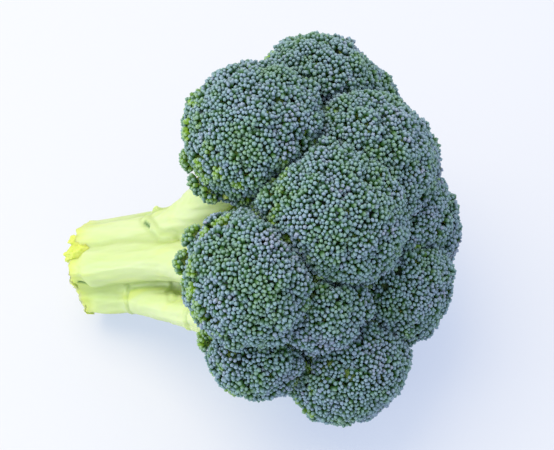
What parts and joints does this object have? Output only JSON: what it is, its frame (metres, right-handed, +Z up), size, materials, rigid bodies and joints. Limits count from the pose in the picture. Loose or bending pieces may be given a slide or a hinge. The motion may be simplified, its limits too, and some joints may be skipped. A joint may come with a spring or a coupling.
{
  "type": "broccoli head",
  "caption": "Fresh broccoli head lying on its side, a domed crown of budded florets on a forked pale green stalk.",
  "frame": {"origin": "on the surface that the head rests on, under the middle of its box", "axes": "+X towards the crown, along the stalk seen from above; +Z up; +Y away from the front side"},
  "size_m": [0.1558, 0.1448, 0.1367],
  "materials": {
    "stalk": "satin",
    "florets": "matte"
  },
  "bodies": {
    "root": {"stalk": "stalk", "floret_tip": "florets", "floret_inner_top": "florets", "floret_inner_front": "florets", "floret_inner_front_small": "florets", "floret_inner_bottom_front": "florets", "floret_inner_bottom_back": "florets", "floret_inner_back": "florets", "floret_rim_top": "florets", "floret_rim_front_high": "florets", "floret_rim_front_side": "florets", "floret_rim_front_low": "florets", "floret_rim_bottom_front": "florets", "floret_rim_bottom": "florets", "floret_rim_bottom_back": "florets", "floret_rim_back": "florets", "floret_rim_back_high": "florets", "floret_rim_top_back": "florets"}
  },
  "joints": []
}
